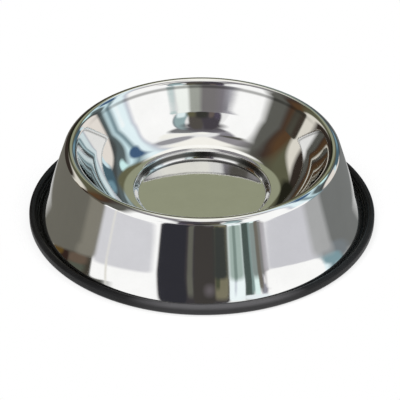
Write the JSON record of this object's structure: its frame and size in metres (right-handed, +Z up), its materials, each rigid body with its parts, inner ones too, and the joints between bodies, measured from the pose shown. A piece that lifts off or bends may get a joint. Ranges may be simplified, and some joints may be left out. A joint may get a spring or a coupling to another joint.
{
  "type": "dog bowl",
  "caption": "Round non-tip pet bowl drawn from one steel sheet, with a rolled rim and a flared skirt, whose foot flange sits in a black rubber ring that keeps it from sliding.",
  "frame": {"origin": "centre of the rubber ring's underside, on the bowl's axis and on the surface that it stands on", "axes": "+Z up along the bowl's axis; the bowl is round, so +X and +Y are any two level directions, and the picture is taken from the -Y side"},
  "size_m": [0.25, 0.25, 0.06],
  "materials": {
    "polished_steel": "mirror polished stainless steel",
    "black_rubber": "satin moulded rubber"
  },
  "bodies": {
    "root": {"steel_bowl": "polished_steel", "rubber_ring": "black_rubber"}
  },
  "joints": []
}
